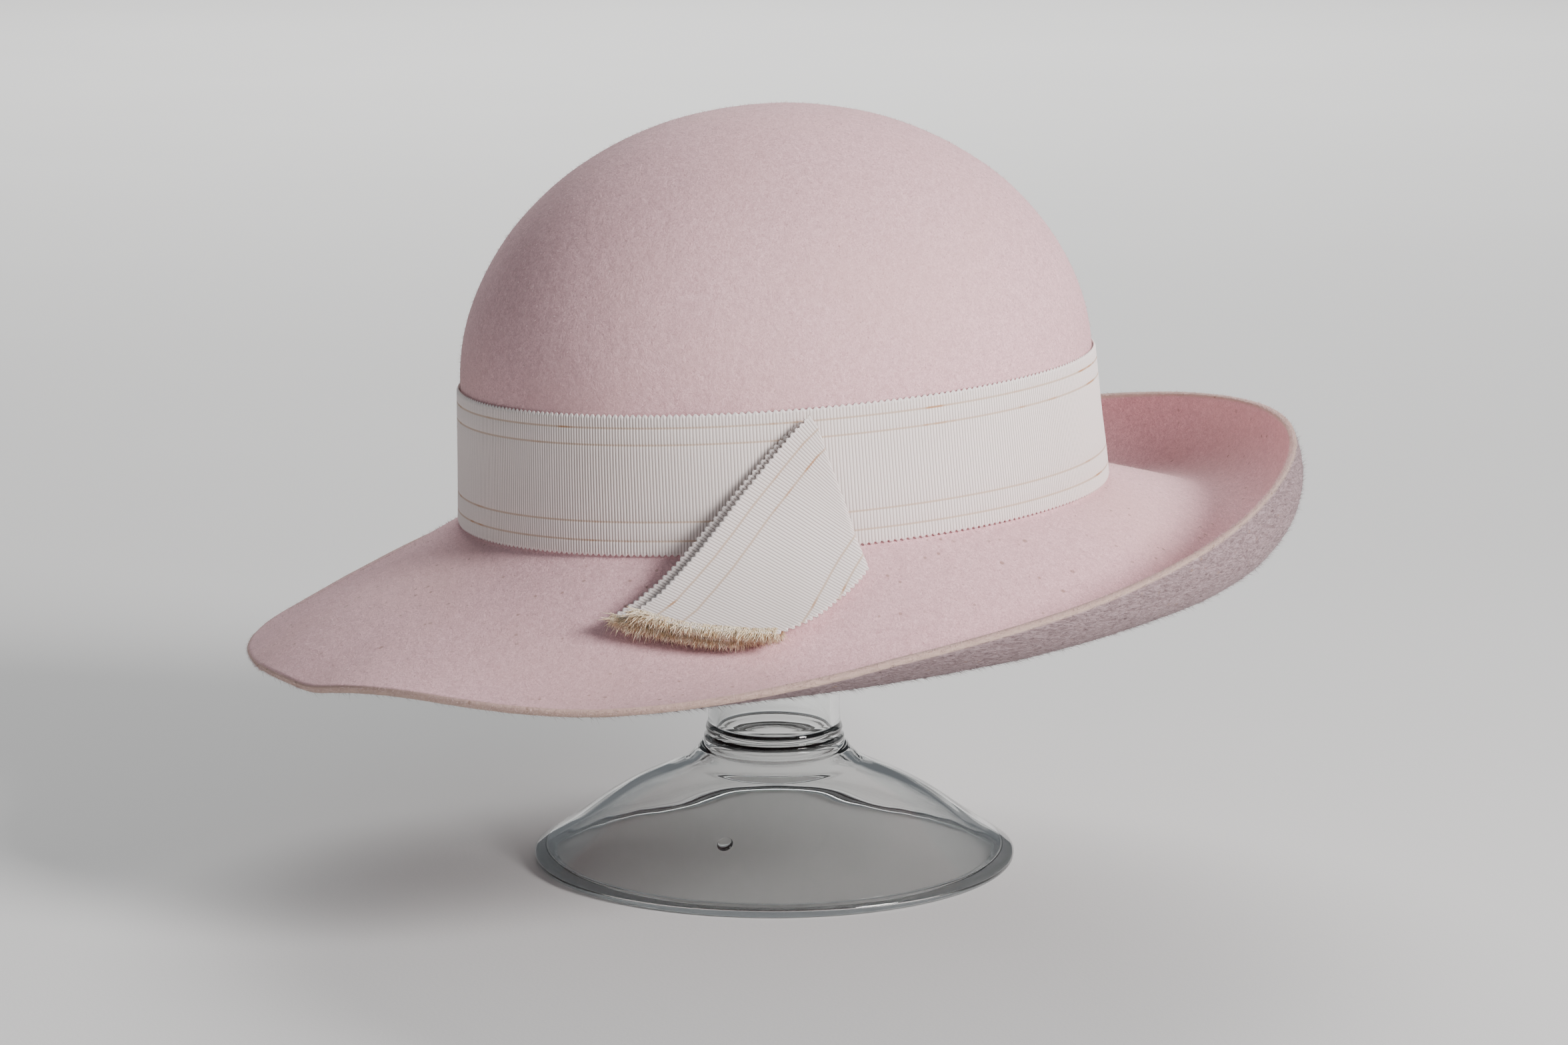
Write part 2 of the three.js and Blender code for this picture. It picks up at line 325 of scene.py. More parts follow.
def felt_surface(row, turn):
    """A point on the upper face and the direction out of the felt there."""
    shape, value = stations[row]
    here = shape(turn, value)
    above, below = stations[max(row - 1, 0)], stations[min(row + 1, len(stations) - 1)]
    down = below[0](turn, below[1]) - above[0](turn, above[1])
    along = shape(turn + 0.01, value) - shape(turn - 0.01, value)
    out = down.cross(along).normalized()
    return here, out


AROUND = 360
WOBBLE = 0.6
mesh = bmesh.new()
turn_of = mesh.verts.layers.float.new("turn")
under_of = mesh.verts.layers.float.new("under")
edge_of = mesh.verts.layers.float.new("edge")


def close_fan(mesh, ring_verts, centre):
    """A fan of triangles from a ring to a point."""
    ring_edges = [e for e in mesh.edges if e.is_boundary and ring_verts.issuperset(e.verts)]
    made = bmesh.ops.extrude_edge_only(mesh, edges=ring_edges)
    tips = [g for g in made["geom"] if isinstance(g, bmesh.types.BMVert)]
    for v in tips:
        v.co = centre
    bmesh.ops.pointmerge(mesh, verts=tips, merge_co=centre)


ring = bmesh.ops.create_circle(mesh, cap_ends=False, radius=1.0, segments=AROUND)["verts"]
for v in ring:
    v[turn_of] = math.atan2(v.co.x, -v.co.y)
edges = list(mesh.edges)
surface_rows = [
    [felt_surface(r, i * 2 * math.pi / AROUND) for i in range(AROUND)] for r in range(len(stations))
]


def ring_index(turn):
    return round(turn / (2 * math.pi) * AROUND) % AROUND


def lay_ring(verts, row, depth, under, edge):
    for v in verts:
        here, out = surface_rows[row][ring_index(v[turn_of])]
        lift = felt_wobble(here, under > 0.5) * WOBBLE
        v.co = here + out * (lift - depth)
        v[under_of] = under
        v[edge_of] = edge


lay_ring(ring, 0, 0, 0, 0)
first = ring
walk = [(r, 0.0, 0.0, 0.0) for r in range(1, len(stations))]
walk[-1] = (len(stations) - 1, 0.0, 0.0, 1.0)
walk += [(len(stations) - 1, FELT * 0.5, 0.5, 1.0), (len(stations) - 1, FELT, 1.0, 1.0)]
walk += [(r, FELT, 1.0, 0.0) for r in range(len(stations) - 2, -1, -1)]
for row, depth, under, edge in walk:
    made = bmesh.ops.extrude_edge_only(mesh, edges=edges)["geom"]
    ring = [g for g in made if isinstance(g, bmesh.types.BMVert)]
    edges = [g for g in made if isinstance(g, bmesh.types.BMEdge)]
    lay_ring(ring, row, depth, under, edge)
last = ring
close_fan(mesh, set(first), Vector((0, CROWN_LEAN, CROWN_WALL + CROWN_DOME)))
close_fan(mesh, set(last), Vector((0, CROWN_LEAN, CROWN_WALL + CROWN_DOME - FELT)))
bmesh.ops.recalc_face_normals(mesh, faces=mesh.faces)
bmesh.ops.transform(mesh, matrix=seat @ Matrix.Scale(MM, 4), verts=mesh.verts)

felt_finish = Finish(
    "pink_wool_felt", Roughness=0.96, Sheen_Weight=0.12, Sheen_Roughness=0.5, Specular_IOR_Level=0.15
)
felt_finish.shader.inputs["Sheen Tint"].default_value = (1.0, 0.86, 0.86, 1)
under = felt_finish.attribute("under")
raw_edge = felt_finish.attribute("edge")
fibre = felt_finish.noise(1500, 4, 0.65, 1.2)
clump = felt_finish.noise(420, 3, 0.6, 0.6)
matting = felt_finish.noise(150, 4, 0.65, 0.8)
cloud = felt_finish.noise(14, 3, 0.55)
pink = felt_finish.mix(fibre.ramp(0.3, 0.7), (0.64, 0.365, 0.395), (0.94, 0.62, 0.645))
pink = felt_finish.mix(clump.ramp(0.4, 0.75) * 0.42, pink, (0.57, 0.335, 0.36))
pink = felt_finish.mix(matting.ramp(0.5, 0.8) * 0.34, pink, (0.62, 0.375, 0.395))
pink = felt_finish.mix(cloud.ramp(0.42, 0.75) * 0.5, pink, (0.76, 0.47, 0.46))
STREAK_ACROSS, STREAK_ALONG = 1300, 190
x, y, z = (
    felt_finish.node("ShaderNodeSeparateXYZ", None, {"Vector": felt_finish.place()}, axis)
    for axis in (0, 1, 2)
)
away = ((x / 0.93).maths("POWER", 2) + (y / 1.07).maths("POWER", 2)).maths("SQRT")
combed = {
    "X": away * STREAK_ACROSS + x * STREAK_ALONG,
    "Y": z * STREAK_ACROSS + y * STREAK_ALONG,
    "Z": (x - y) * STREAK_ALONG,
}
streak = felt_finish.noise(1.0, 4, 0.65, 0.9, felt_finish.node("ShaderNodeCombineXYZ", None, combed))
# The inner face gets combed wool streaks in colours far darker than the pink: painted shade on the
# underside of the brim and inside the crown, over a real streaky nap.
underside_wool_shade = felt_finish.mix(streak.ramp(0.3, 0.72), (0.125, 0.088, 0.092), (0.37, 0.285, 0.295))
pink = felt_finish.mix(under * 0.9, pink, underside_wool_shade)
pink = felt_finish.mix(raw_edge.ramp(0.3, 1.0) * 0.7, pink, (0.70, 0.50, 0.40))


def specks(scale, size, share):
    """Small round marks, one in each cell of a random net, kept in a share of the cells."""
    cells = {"Vector": felt_finish.place(), "Scale": scale}
    away = felt_finish.node("ShaderNodeTexVoronoi", {"feature": "F1"}, cells, "Distance")
    lot = felt_finish.node("ShaderNodeTexVoronoi", {"feature": "F1"}, cells, "Color")
    chosen = felt_finish.node("ShaderNodeSeparateColor", None, {0: lot})
    return (1 - away.ramp(size * 0.4, size)) * (chosen > 1 - share)


soiled = felt_finish.noise(24, 2).ramp(0.30, 0.50) * (1 - z.ramp(0.125, 0.165) * 0.8)
dots = (specks(115.0, 0.12, 0.3) + specks(230.0, 0.17, 0.5)) * soiled
pink = felt_finish.mix(dots * 0.62, pink, (0.30, 0.18, 0.13))
felt_height = fibre * 0.6 + clump * 0.8 + matting * 1.5 + under * streak * 2.6
felt_finish.set(Base_Color=pink, Normal=felt_finish.bump(felt_height, 0.6, 0.00035))
piece("felt_hood", mesh, felt_finish, "pink_felt", ["felt_hat"])

# ---------------------------------------------------------------------------
# Ribbon band. Cotton grosgrain 40 mm wide with round cross ribs, a picot
# selvedge on both edges and four woven lines along it, pulled flat round the
# foot of the crown and stitched down.
RIBBON_WIDTH = 40.0
RIBBON_OFF = 0.9
RIBBON_THICK = 0.45
LOOP_OUT, LOOP_REACH = 0.34, 0.9
RIB_HIGH = 0.26
RIBS_AROUND = 630
RIB_STEPS = 3
WOVEN_LINES = (4.3, 9.7, 31.6, 36.4)
LINE_REACH = 0.45
BAND_LOW = 0.9
across_stops = [0, 0.35, 0.8, 1.6, 2.9]
for line in WOVEN_LINES:
    across_stops += [line - LINE_REACH, line, line + LINE_REACH]
across_stops += [14, 18, 22, 26, 29, 38.0, 38.8, 39.4, 39.75, 40]
across_stops = sorted(across_stops)


def rib_height(phase):
    """0 in the groove, 1 on the rib."""
    return 0.5 - 0.5 * math.cos(2 * math.pi * phase)


def selvedge(across, phase):
    """How far the edge loops stand out past the ribbon's straight edge, in mm."""
    near = max(0.0, 1 - min(across, RIBBON_WIDTH - across) / LOOP_REACH)
    side = 1 if across > RIBBON_WIDTH / 2 else -1
    return side * near * (LOOP_OUT * math.cos(math.pi * phase) - 0.05)


def weave_dip(across):
    """1 on a woven line, where the ribs lie a little lower, and less away from it."""
    return max(1 - abs(across - line) / LINE_REACH for line in WOVEN_LINES)


mesh = bmesh.new()
turn_of = mesh.verts.layers.float.new("turn")
across_of = mesh.verts.layers.float.new("across")
rib_of = mesh.verts.layers.float.new("rib")
segments = RIBS_AROUND * RIB_STEPS
ring = bmesh.ops.create_circle(mesh, cap_ends=False, radius=1.0, segments=segments)["verts"]
for v in ring:
    v[turn_of] = math.atan2(v.co.x, -v.co.y)
edges = list(mesh.edges)
spokes = []
for i in range(segments):
    turn = i * 2 * math.pi / segments
    spokes.append((oval(turn, 1, 0), outward(turn)))


def lay_band(verts, across, depth):
    z = BAND_LOW + across
    scale = 1 - (1 - CROWN_TAPER) * min(z, CROWN_WALL) / CROWN_WALL
    edge_tuck = 0.35 * max(0.0, 1 - min(across, RIBBON_WIDTH - across) / 0.6)
    dip = max(0.0, weave_dip(across)) * 0.12
    for v in verts:
        index = round(v[turn_of] / (2 * math.pi) * segments) % segments
        base, out = spokes[index]
        phase = index / RIB_STEPS
        ribbed = rib_height(phase)
        face = RIB_HIGH * ribbed - dip - edge_tuck if depth == 0 else -RIBBON_THICK
        point = base * scale + out * (RIBBON_OFF + face)
        slack = noise.noise(Vector((base.x * 0.03, base.y * 0.03, z * 0.05))) * 0.3
        point += out * slack
        point.z = z + selvedge(across, phase)
        v.co = point
        v[across_of] = across
        v[rib_of] = ribbed if depth == 0 else 0


lay_band(ring, 0, 0)
start = list(edges)
walk = [(a, 0) for a in across_stops[1:]] + [(a, 1) for a in (40, 20, 0)]
for across, depth in walk:
    made = bmesh.ops.extrude_edge_only(mesh, edges=edges)["geom"]
    ring = [g for g in made if isinstance(g, bmesh.types.BMVert)]
    edges = [g for g in made if isinstance(g, bmesh.types.BMEdge)]
    lay_band(ring, across, depth)
bmesh.ops.bridge_loops(mesh, edges=start + edges)
bmesh.ops.recalc_face_normals(mesh, faces=mesh.faces)
bmesh.ops.transform(mesh, matrix=seat @ Matrix.Scale(MM, 4), verts=mesh.verts)

ribbon_finish = Finish(
    "ivory_grosgrain", Roughness=0.7, Sheen_Weight=0.15, Sheen_Roughness=0.4, Specular_IOR_Level=0.3
)


def grosgrain(finish):
    rib = finish.attribute("rib")
    across = finish.attribute("across")
    yarn = finish.noise(2600, 3, 0.6)
    # The grooves between the ribs are painted darker than the crests: painted shade in the grooves.
    colour = finish.mix(rib.ramp(0.02, 0.62), (0.46, 0.37, 0.35), (0.96, 0.88, 0.845))
    colour = finish.mix(yarn.ramp(0.35, 0.8) * 0.15, colour, (0.66, 0.57, 0.53))
    colour = finish.mix(finish.noise(16, 3).ramp(0.4, 0.8) * 0.18, colour, (0.80, 0.68, 0.57))
    half = RIBBON_WIDTH / 2
    # Near the selvedges the painted groove shade is taken back towards the crest colour, so the picot
    # loops read pale.
    loops = (across - half).maths("ABSOLUTE").ramp(half - LOOP_REACH, half - 0.4)
    colour = finish.mix(loops * 0.6, colour, (0.94, 0.87, 0.84))
    on_line = None
    for line in WOVEN_LINES:
        near = 1 - (across - line).maths("ABSOLUTE").ramp(0.16, 0.38)
        on_line = near if on_line is None else on_line.maths("MAXIMUM", near)
    colour = finish.mix(on_line * 0.8, colour, (0.60, 0.44, 0.33))
    rust = finish.noise(55, 3, 0.6).ramp(0.54, 0.66) * on_line
    colour = finish.mix(rust * 0.85, colour, (0.48, 0.23, 0.09))
    finish.set(Base_Color=colour, Normal=finish.bump(yarn * 0.7 + finish.noise(1100, 2), 0.3, 0.0001))


grosgrain(ribbon_finish)
band = piece("grosgrain_band", mesh, ribbon_finish, "ivory_ribbon", ["ribbon_band"])

# ---------------------------------------------------------------------------
# Ribbon tails. The two ends of the band are turned down in a dart at the
# wearer's left and hang as a double tail that stands a little off the brim.
TAIL_TOP = Vector((85.2, -23.0, 39.7))
TAIL_DOWN = Vector((0.045, -0.7736, -0.6321))
TAIL_ACROSS = Vector((0.2162, 0.6253, -0.7499))
TAIL_OUT = TAIL_DOWN.cross(TAIL_ACROSS)
RIB_PITCH = 0.92
RIB_LEAN = [(-1, 0.17), (5, 0.0), (20, -0.19), (40, -0.22), (70, -0.30), (80, -0.31)]
RIB_PASSES = 14
TAIL_THICK = 0.4
CREASE_ROLL, CREASE_DROP = 2.4, 2.3


def table_curve(points, x):
    """The value at x on straight lines through the points."""
    for (x0, y0), (x1, y1) in zip(points, points[1:]):
        if x <= x1:
            return y0 + (y1 - y0) * max(0.0, (x - x0) / (x1 - x0))
    return points[-1][1]


class Tail:
    """One ribbon tail: its bow, its left selvedge, and a right side of crease, selvedge and cut end."""

    def __init__(self, bow, left, right, crease_end, cut_start):
        self.bow, self.left, self.right = bow, left, right
        self.crease_end, self.cut_start = crease_end, cut_start
        self.first, self.last = left[0][0], left[-1][0]

    def point(self, along, across, lift=0.0):
        """A place on the bowed face. The bow's keys are the powers of the ways along and across."""
        p, q = along / 40, across / 40
        out = sum(c * p ** int(k[0]) * q ** int(k[1]) for k, c in self.bow.items())
        return TAIL_TOP + TAIL_DOWN * along + TAIL_ACROSS * across + TAIL_OUT * (out + lift)

    def rib(self, start):
        """A rib that leaves the left selvedge at start: where it begins and ends, and its lean."""
        left, lean = table_curve(self.left, start), table_curve(RIB_LEAN, start)
        right = left
        for _ in range(RIB_PASSES):
            right = 0.5 * right + 0.5 * table_curve(self.right, start + lean * (right - left))
        return left, max(right, left + 0.3), lean


over = Tail(
    {"00": -0.21, "01": 2.91, "02": -7.98, "10": -2.19, "11": -21.06, "12": 32.67,
     "20": -12.21, "21": 27.96, "22": -10.26, "30": 9.37, "31": -2.53, "40": -1.19},
    [(-0.8, 1.0), (6.3, 0.9), (11.7, 1.4), (20.3, 2.3), (28.8, 3.1), (38.4, 4.3), (47.3, 5.0),
     (55.9, 5.0), (64.7, 4.6), (69.6, 3.6), (74.5, 2.4)],
    [(-1.4, 3.5), (1.8, 9.5), (4.3, 14.9), (6.6, 20.5), (9.3, 26.5), (11.8, 31.3), (14.1, 35.3),
     (15.9, 39.0), (17.6, 42.3), (21.2, 42.6), (24.6, 42.3), (28.6, 41.8), (32.6, 40.8),
     (36.6, 39.9), (40.4, 38.8), (44.5, 37.2), (48.7, 35.2), (52.7, 33.0), (56.6, 29.2),
     (59.8, 25.4), (62.8, 21.6), (65.9, 17.8), (68.4, 14.2), (70.7, 9.6), (72.7, 5.9), (74.5, 2.6)],
    17.6,
    52.7,
)
lower = Tail(
    {"00": -1.67, "01": 4.19, "02": -9.41, "10": -4.36, "11": -18.27, "12": 27.18,
     "20": -9.77, "21": 19.87, "22": -4.93, "30": 6.89, "31": -0.32, "40": -0.5},
    [(0.6, 0.7), (12.9, 0.3), (24.1, 1.3), (35.4, 2.4), (45.0, 3.1), (54.7, 3.5), (62.1, 3.1),
     (69.9, 2.0), (78.6, -0.2)],
    [(0.3, 1.5), (3.0, 6.5), (7.5, 14.1), (13.8, 25.2), (21.5, 34.8), (30.8, 37.1), (41.2, 36.5),
     (50.0, 35.0), (54.0, 32.4), (58.0, 29.6), (62.0, 26.4), (65.0, 23.0), (68.0, 19.0),
     (71.0, 14.6), (74.0, 9.8), (77.0, 4.4), (78.6, 0.4)],
    21.5,
    50.0,
)


TAIL_COLUMNS = 44


def tail_mesh(tail, rolled):
    """The tail as a net whose long lines follow the ribs."""
    count = int((tail.last - tail.first) / RIB_PITCH * RIB_STEPS)
    ribs = [tail.rib(tail.first + (tail.last - tail.first) * i / count) for i in range(count + 1)]
    mesh = bmesh.new()
    across_of = mesh.verts.layers.float.new("across")
    rib_of = mesh.verts.layers.float.new("rib")
    made = bmesh.ops.create_grid(mesh, x_segments=count, y_segments=TAIL_COLUMNS, size=1.0)["verts"]
    for v in made:
        i = round((v.co.x + 1) / 2 * count)
        j = round((v.co.y + 1) / 2 * TAIL_COLUMNS)
        start = tail.first + (tail.last - tail.first) * i / count
        left, right, lean = ribs[i]
        across = left + (right - left) * j / TAIL_COLUMNS
        along = start + lean * (across - left)
        phase = i / RIB_STEPS
        ribbed = rib_height(phase)
        roll = 0.0
        if rolled and along < tail.crease_end + 1:
            turned = min(1.0, max(0.0, 1 - (right - across) / CREASE_ROLL))
            ease = min(1.0, tail.crease_end + 1 - along)
            roll = -CREASE_DROP * (1 - math.sqrt(1 - turned * turned)) * ease
        loop = -LOOP_OUT * math.cos(math.pi * phase) * max(0.0, 1 - (across - left) / LOOP_REACH)
        if tail.crease_end < along < tail.cut_start:
            loop += LOOP_OUT * math.cos(math.pi * phase) * max(0.0, 1 - (right - across) / LOOP_REACH)
        ripple = noise.noise(Vector((along * 0.06, across * 0.06, 3.0 if rolled else 9.0))) * 0.5
        v.co = tail.point(along, across + loop, RIB_HIGH * ribbed + roll + ripple)
        v[across_of] = across - left
        v[rib_of] = ribbed
    bmesh.ops.recalc_face_normals(mesh, faces=mesh.faces)
    if sum(f.normal.dot(TAIL_OUT) for f in mesh.faces) < 0:
        bmesh.ops.reverse_faces(mesh, faces=mesh.faces)
    bmesh.ops.solidify(mesh, geom=mesh.faces[:], thickness=TAIL_THICK)
    bmesh.ops.recalc_face_normals(mesh, faces=mesh.faces)
    bmesh.ops.transform(mesh, matrix=seat @ Matrix.Scale(MM, 4), verts=mesh.verts)
    return mesh


upper_mesh = tail_mesh(over, True)
upper_tail = piece("tail_upper", upper_mesh, ribbon_finish, "ivory_ribbon", ["ribbon_tail_over"])
lower_mesh = tail_mesh(lower, False)
lower_tail = piece("tail_lower", lower_mesh, ribbon_finish, "ivory_ribbon", ["ribbon_tail_under"])

# ---------------------------------------------------------------------------
# Frayed ends. The cotton core of the ribbon has worked loose along both cut
# ends into a soft, curly fringe that has yellowed to a straw colour.
fray_dice = random.Random(11)


def strand_shape(rings):
    """A thin three-sided strand along Z, from a closed butt at 0 to a point at 1."""
    mesh = bmesh.new()
    bmesh.ops.create_circle(mesh, cap_ends=True, radius=1.0, segments=3)
    edges = list(mesh.edges)
    for i in range(rings):
        made = bmesh.ops.extrude_edge_only(mesh, edges=edges)["geom"]
        top = [g for g in made if isinstance(g, bmesh.types.BMVert)]
        edges = [g for g in made if isinstance(g, bmesh.types.BMEdge)]
        bmesh.ops.translate(mesh, vec=(0, 0, 1 / rings), verts=top)
    bmesh.ops.pointmerge(mesh, verts=top, merge_co=Vector((0, 0, 1)))
    bmesh.ops.recalc_face_normals(mesh, faces=mesh.faces)
    data = bpy.data.meshes.new("strand")
    mesh.to_mesh(data)
    mesh.free()
    return data


HANDFUL = 300


def sow(strands, shape):
    """One mesh of many strands, each given as root, reach, bend and radius in mm in the hat's frame."""
    whole = bmesh.new()
    handful = bpy.data.meshes.new("handful")
    for begin in range(0, len(strands), HANDFUL):
        patch = bmesh.new()
        for root, reach, bend, radius in strands[begin : begin + HANDFUL]:
            old = len(patch.verts)
            patch.from_mesh(shape)
            patch.verts.ensure_lookup_table()
            side = reach.orthogonal().normalized()
            other = reach.cross(side).normalized()
            for v in patch.verts[old:]:
                x, y, t = v.co
                aside = (side * x + other * y) * radius * (1 - 0.5 * t)
                v.co = root + reach * t + bend * (t * t) + aside
        patch.to_mesh(handful)
        patch.free()
        whole.from_mesh(handful)
    bmesh.ops.transform(whole, matrix=seat @ Matrix.Scale(MM, 4), verts=whole.verts)
    bmesh.ops.recalc_face_normals(whole, faces=whole.faces)
    return whole


def tuft(dice, spread):
    return Vector((dice.gauss(0, spread), dice.gauss(0, spread), dice.gauss(0, spread)))


def fringe(tail, count):
    """Loose cotton along the cut end of a tail."""
    cut = [(a, c) for a, c in tail.right if a >= tail.cut_start]
    away = (TAIL_DOWN * 0.80 + TAIL_ACROSS * 0.52).normalized()
    strands = []
    for _ in range(count):
        along = cut[0][0] + (cut[-1][0] - cut[0][0]) * fray_dice.random()
        across = table_curve(cut, along)
        corner = max(0.0, (along - cut[-1][0] + 5) / 5)
        inward = fray_dice.uniform(0.1, 1.7)
        high = 0.15 + fray_dice.uniform(-0.3, 0.35)
        root = tail.point(along - inward * 0.8, across - inward * 0.5, high)
        length = fray_dice.uniform(1.6, 3.4) * (1 + 1.5 * corner * fray_dice.random() ** 2)
        aim = away + tuft(fray_dice, 0.34) - TAIL_ACROSS * corner * fray_dice.uniform(0.2, 1.3)
        reach = aim.normalized() * length
        bend = tuft(fray_dice, 0.55) + Vector((0, 0, -0.35))
        strands.append((root, reach, bend, fray_dice.uniform(0.10, 0.19)))
    return strands


cotton_finish = Finish("straw_cotton", Roughness=0.95, Sheen_Weight=0.2, Specular_IOR_Level=0.15)
straw = cotton_finish.noise(700, 3, 0.6).ramp(0.3, 0.7)
straw = cotton_finish.mix(straw, (0.76, 0.56, 0.33), (0.97, 0.86, 0.66))
straw = cotton_finish.mix(cotton_finish.noise(210, 2).ramp(0.45, 0.7) * 0.45, straw, (0.96, 0.90, 0.80))
cotton_finish.set(Base_Color=straw, Normal=cotton_finish.bump(cotton_finish.noise(5000, 2), 0.3, 0.0001))
curl = strand_shape(4)
FRAY_STRANDS = 2400
fray = sow(fringe(over, FRAY_STRANDS), curl)
upper_fringe = piece("tail_fringe_upper", fray, cotton_finish, "ivory_ribbon")
fray = sow(fringe(lower, FRAY_STRANDS), curl)
lower_fringe = piece("tail_fringe_lower", fray, cotton_finish, "ivory_ribbon")

# ---------------------------------------------------------------------------
# Nap. Fine wool fibres that stand up from the felt: short all over, longer on
# the underside of the brim, where the felt was never pressed smooth.
nap_dice = random.Random(5)
BRIM_ROW = next(i for i, (shape, _) in enumerate(stations) if shape is brim_point)


def felt_at(row, turn):
    """A point of the upper face and the direction out of it, between the net's lines."""
    r = min(int(row), len(stations) - 2)
    u = (turn / (2 * math.pi) * AROUND) % AROUND
    i, f, g = int(u), u - int(u), row - r
    corners = [surface_rows[r + a][(i + b) % AROUND] for a in (0, 1) for b in (0, 1)]
    shares = [(1 - g) * (1 - f), (1 - g) * f, g * (1 - f), g * f]
    here = sum((c[0] * k for c, k in zip(corners, shares)), Vector())
    return here, corners[0][1], (corners[2][0] - corners[0][0]).normalized()


def nap(count, first_row, woolly, lengths, lie, radius):
    """Straight fibres from first_row out, combed flat by lie. Woolly ones run round the brim."""
    weights = []
    for r in range(first_row, len(stations) - 1):
        here, there = surface_rows[r][0][0], surface_rows[r + 1][0][0]
        weights.append((here - there).length * max(here.xy.length, 1.0))
    rows = nap_dice.choices(range(first_row, len(stations) - 1), weights, k=count)
    fibres = []
    for r in rows:
        turn = nap_dice.uniform(0, 2 * math.pi)
        here, out, down = felt_at(r + nap_dice.random(), turn)
        lift = felt_wobble(here, woolly) * WOBBLE - (FELT if woolly else 0)
        rise = -out if woolly else out
        around = out.cross(down)
        comb = around * nap_dice.gauss(0.5, 0.8) + down * nap_dice.gauss(0.2, 0.8)
        if woolly:
            comb = around * nap_dice.gauss(1.0, 0.3) + down * nap_dice.gauss(0.25, 0.3)
        reach = (rise + comb * nap_dice.uniform(*lie)).normalized() * nap_dice.uniform(*lengths)
        fibres.append((here + out * lift - rise * 0.05, reach, rise * -0.1 * reach.length, radius))
    return fibres


def edge_nap(count):
    """Fibres that stand out of the raw cut edge."""
    fibres = []
    for _ in range(count):
        here, out, down = felt_at(len(stations) - 1.001, nap_dice.uniform(0, 2 * math.pi))
        reach = (down + tuft(nap_dice, 0.45)).normalized() * nap_dice.uniform(0.4, 1.4)
        fibres.append((here - out * nap_dice.uniform(0.1, FELT - 0.1), reach, Vector(), 0.036))
    return fibres


nap_finish = Finish("wool_nap", Roughness=1.0, Sheen_Weight=0.2, Specular_IOR_Level=0.1)
shade = nap_finish.noise(900, 2).ramp(0.3, 0.7)
nap_finish.set(
    Base_Color=nap_finish.mix(shade, (0.62, 0.43, 0.43), (0.88, 0.70, 0.69)),
    Normal=nap_finish.bump(nap_finish.noise(4000, 2), 0.2, 0.0001),
)
SHORT_FIBRES, EDGE_FIBRES, LONG_FIBRES = 34000, 10000, 46000
hair = strand_shape(1)
fibres = nap(SHORT_FIBRES, 0, False, (0.6, 1.7), (0.6, 1.2), 0.038) + edge_nap(EDGE_FIBRES)
short_nap = sow(fibres, hair)
long_nap = sow(nap(LONG_FIBRES, BRIM_ROW, True, (1.4, 3.4), (0.6, 3.2), 0.042), hair)
# The long fibres under the brim are coloured much darker than the short nap above: painted shade under
# the brim.
under_finish = Finish("wool_nap_underside_painted_shade", Roughness=1.0, Sheen_Weight=0.1, Specular_IOR_Level=0.1)
shade = under_finish.noise(300, 3, 0.6).ramp(0.3, 0.7)
under_finish.set(
    Base_Color=under_finish.mix(shade, (0.17, 0.125, 0.13), (0.41, 0.325, 0.335)),
    Normal=under_finish.bump(under_finish.noise(4000, 2), 0.2, 0.0001),
)
piece("felt_nap_short", short_nap, nap_finish, "pink_felt")
piece("felt_nap_long", long_nap, under_finish, "pink_felt")

# ---------------------------------------------------------------------------
# Glass stand. Clear blown glass: a bell foot, a neck with moulded rings at its
# root, and a closed domed head that fills the top of the crown. One small flat
# blister stands a little out of the wall of the foot.
GLASS_WALL = 3.0
GLASS_SEGMENTS = 128
HEAD_TOP, HEAD_RADIUS = 226.9, 57.0
HEAD_ROWS, HEAD_STEP = 44, 3
profile = []
for i in range(1, HEAD_ROWS + 1):
    a = i * HEAD_STEP * RAD
    profile.append((HEAD_RADIUS * math.sin(a), HEAD_TOP - HEAD_RADIUS + HEAD_RADIUS * math.cos(a)))
profile += [(37.5, 127.4), (32, 123.5), (27.6, 119.0), (24.5, 115), (22.4, 109.5), (21.2, 104)]
profile += [(20.4, 97), (20.1, 90), (20.1, 60), (20.1, 46), (20.2, 42.2), (20.7, 41.0), (20.9, 40.3)]
profile += [(20.5, 39.4), (20.6, 38.7), (21.3, 38.0), (21.4, 37.4), (21.2, 36.8), (21.7, 36.1)]
profile += [(22.4, 35.5), (22.7, 34.9), (23.2, 34.0), (24.3, 32.8), (26.0, 31.0), (28.3, 29.2)]
profile += [(31.0, 27.9), (34.2, 26.4), (37.7, 24.9), (41.1, 23.4), (44.5, 21.7), (47.8, 19.8)]
profile += [(54.4, 15.5), (60.8, 10.7), (64.0, 8.5), (66.9, 6.6), (69.4, 5.2), (71.4, 4.3)]
profile += [(72.7, 3.4), (73.2, 2.4), (73.1, 1.0), (72.6, 0.3), (71.8, 0.0)]


def smooth_run(points, step):
    """The same line through closer points, as a soft curve."""
    run = [points[0]]
    for i in range(len(points) - 1):
        a, b, c, d = (points[min(max(i + k, 0), len(points) - 1)] for k in (-1, 0, 1, 2))
        parts = max(1, round(math.dist(b, c) / step))
        for j in range(parts):
            t = (j + 1) / parts
            place = []
            for k in (0, 1):
                cubic = 3 * (b[k] - c[k]) + d[k] - a[k]
                square = 2 * a[k] - 5 * b[k] + 4 * c[k] - d[k]
                place.append(b[k] + 0.5 * t * (c[k] - a[k] + t * (square + t * cubic)))
            run.append(tuple(place))
    return run


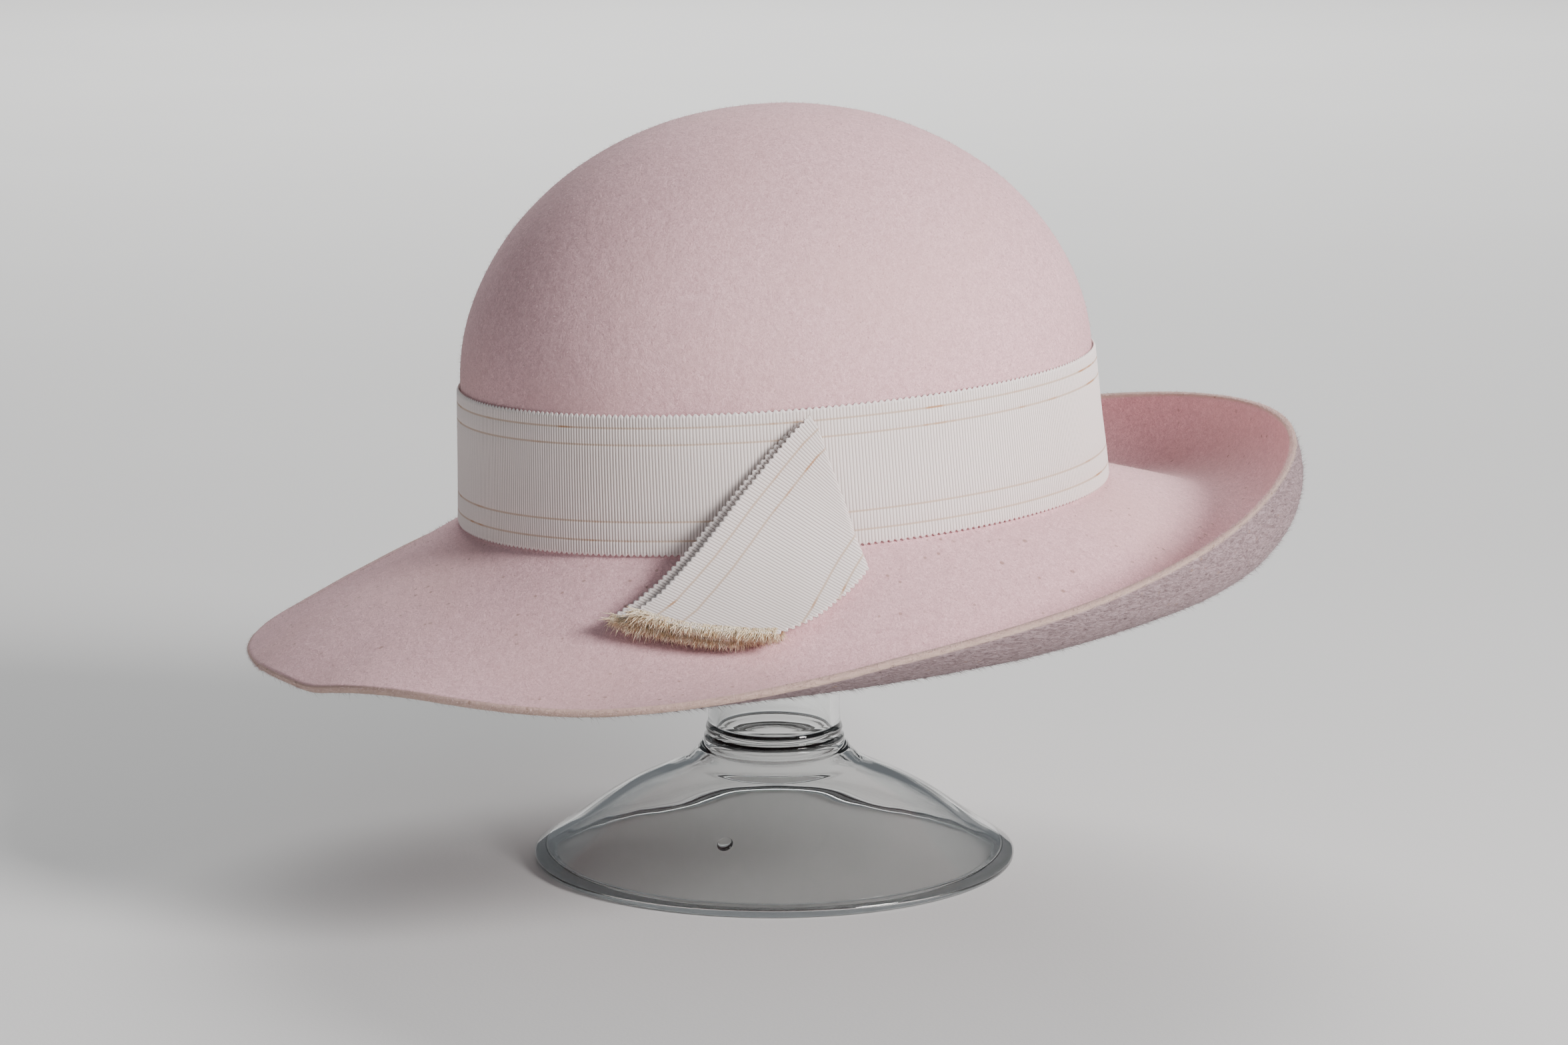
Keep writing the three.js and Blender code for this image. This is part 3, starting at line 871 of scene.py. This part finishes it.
NECK_FOOT = profile.index((20.1, 46))
PROFILE_STEP, SMOOTHINGS = 0.9, 40
profile = profile[:NECK_FOOT] + smooth_run(profile[NECK_FOOT:], PROFILE_STEP)
bell = [i for i, (r, z) in enumerate(profile) if r > 27 and 2.6 < z < 40]
for _ in range(SMOOTHINGS):
    rounded = {}
    for i in bell:
        near = zip(profile[i - 1], profile[i], profile[i + 1])
        rounded[i] = tuple((before + 2 * here + after) / 4 for before, here, after in near)
    for i, place in rounded.items():
        profile[i] = place
profile += [(66.8, 0.0), (66.2, 0.4), (65.6, 1.6)]
outer_count = max(i for i, (r, z) in enumerate(profile) if z > 4.2) + 1
inner = []
for i in range(outer_count):
    before = profile[i - 1] if i else (0, HEAD_TOP)
    after = profile[i + 1]
    dr, dz = after[0] - before[0], after[1] - before[1]
    length = math.hypot(dr, dz)
    inner.append((profile[i][0] + GLASS_WALL * dz / length, profile[i][1] - GLASS_WALL * dr / length))
profile += reversed(inner)

mesh = bmesh.new()
line = [mesh.verts.new((0, 0, HEAD_TOP))]
line += [mesh.verts.new((r, 0, z)) for r, z in profile]
line += [mesh.verts.new((0, 0, HEAD_TOP - GLASS_WALL))]
for a, b in zip(line, line[1:]):
    mesh.edges.new((a, b))
bmesh.ops.spin(
    mesh,
    geom=mesh.verts[:] + mesh.edges[:],
    cent=(0, 0, 0),
    axis=(0, 0, 1),
    angle=2 * math.pi,
    steps=GLASS_SEGMENTS,
    use_merge=True,
)
bmesh.ops.remove_doubles(mesh, verts=mesh.verts, dist=0.001)
bmesh.ops.recalc_face_normals(mesh, faces=mesh.faces)
bmesh.ops.transform(mesh, matrix=Matrix.Translation(stand_axis) @ Matrix.Scale(MM, 4), verts=mesh.verts)

glass_finish = Finish("clear_blown_glass", Roughness=0.015, Transmission_Weight=1.0, IOR=1.48)
glass_finish.set(
    Base_Color=(0.98, 0.992, 0.986, 1),
    Normal=glass_finish.bump(glass_finish.noise(26, 2), 0.12, 0.002),
)
piece("blown_stand", mesh, glass_finish, "clear_glass", ["glass_stand"])

BLISTER_TURN, BLISTER_OUT, BLISTER_UP, BELL_TILT = -36 * RAD, 52.6, 16.4, 34 * RAD
BLISTER_HALVES = (2.7 * MM, 2.4 * MM, 0.95 * MM)
mesh = bmesh.new()
bmesh.ops.create_icosphere(mesh, subdivisions=3, radius=1.0)
blister = (
    Matrix.Translation(stand_axis)
    @ Matrix.Rotation(BLISTER_TURN, 4, "Z")
    @ Matrix.Translation(Vector((BLISTER_OUT, 0, BLISTER_UP)) * MM)
    @ Matrix.Rotation(BELL_TILT, 4, "Y")
    @ Matrix.Diagonal((*BLISTER_HALVES, 1))
)
bmesh.ops.transform(mesh, matrix=blister, verts=mesh.verts)
piece("glass_blister", mesh, glass_finish, "clear_glass")
